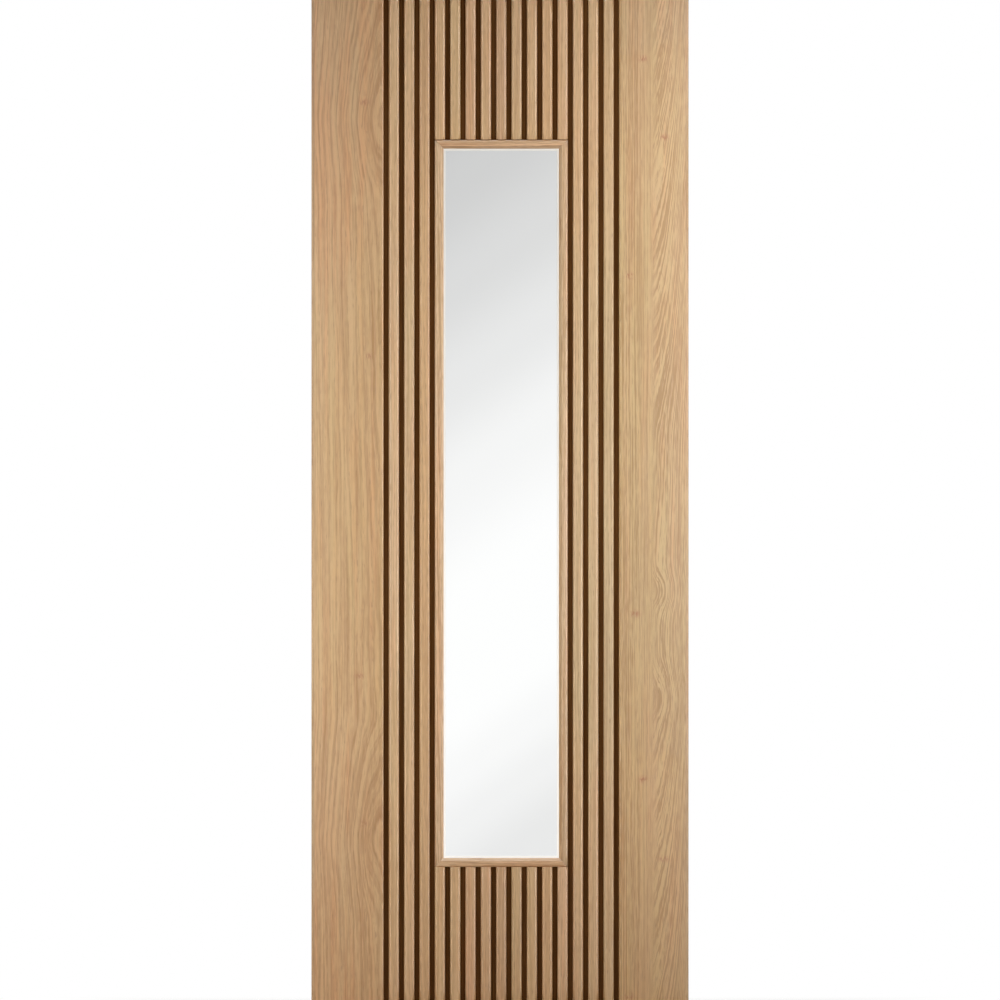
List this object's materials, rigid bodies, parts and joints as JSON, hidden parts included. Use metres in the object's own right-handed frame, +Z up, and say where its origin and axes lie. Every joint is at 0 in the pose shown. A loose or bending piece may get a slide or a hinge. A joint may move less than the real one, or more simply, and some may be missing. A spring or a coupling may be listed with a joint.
{
  "type": "glazed interior door leaf",
  "caption": "Glazed oak interior door leaf with plain stiles, a field of upright slats over a dark backing, and a tall clear pane held in mitred beads on both faces.",
  "frame": {"origin": "foot of the hinge edge, at the middle of the leaf's thickness", "axes": "+X from the hinge edge to the latch edge, +Y from the front face to the back face, +Z up the leaf"},
  "size_m": [0.762, 0.035, 2.032],
  "materials": {
    "oak_panel": "satin",
    "oak_slat": "satin",
    "oak_bead": "satin",
    "oak_lipping": "satin",
    "core_timber": "matte",
    "brown_backing": "matte",
    "clear_glass": "polished"
  },
  "bodies": {
    "root": {"back_bead_head": "oak_bead", "back_bead_hinge_side": "oak_bead", "back_bead_latch_side": "oak_bead", "back_bead_sill": "oak_bead", "back_bottom_backing": "brown_backing", "back_bottom_slats": "oak_slat", "back_hinge_side_backing": "brown_backing", "back_hinge_stile_panel": "oak_panel", "back_latch_side_backing": "brown_backing", "back_latch_stile_panel": "oak_panel", "back_long_slat_1": "oak_slat", "back_long_slat_2": "oak_slat", "back_long_slat_3": "oak_slat", "back_long_slat_4": "oak_slat", "back_long_slat_5": "oak_slat", "back_long_slat_6": "oak_slat", "back_top_backing": "brown_backing", "back_top_slats": "oak_slat", "bottom_rail": "core_timber", "front_bead_head": "oak_bead", "front_bead_hinge_side": "oak_bead", "front_bead_latch_side": "oak_bead", "front_bead_sill": "oak_bead", "front_bottom_backing": "brown_backing", "front_bottom_slats": "oak_slat", "front_hinge_side_backing": "brown_backing", "front_hinge_stile_panel": "oak_panel", "front_latch_side_backing": "brown_backing", "front_latch_stile_panel": "oak_panel", "front_long_slat_1": "oak_slat", "front_long_slat_2": "oak_slat", "front_long_slat_3": "oak_slat", "front_long_slat_4": "oak_slat", "front_long_slat_5": "oak_slat", "front_long_slat_6": "oak_slat", "front_top_backing": "brown_backing", "front_top_slats": "oak_slat", "glass_pane": "clear_glass", "hinge_edge_lipping": "oak_lipping", "hinge_side_mullion": "core_timber", "hinge_stile_core": "core_timber", "latch_edge_lipping": "oak_lipping", "latch_side_mullion": "core_timber", "latch_stile_core": "core_timber", "top_rail": "core_timber"}
  },
  "joints": []
}
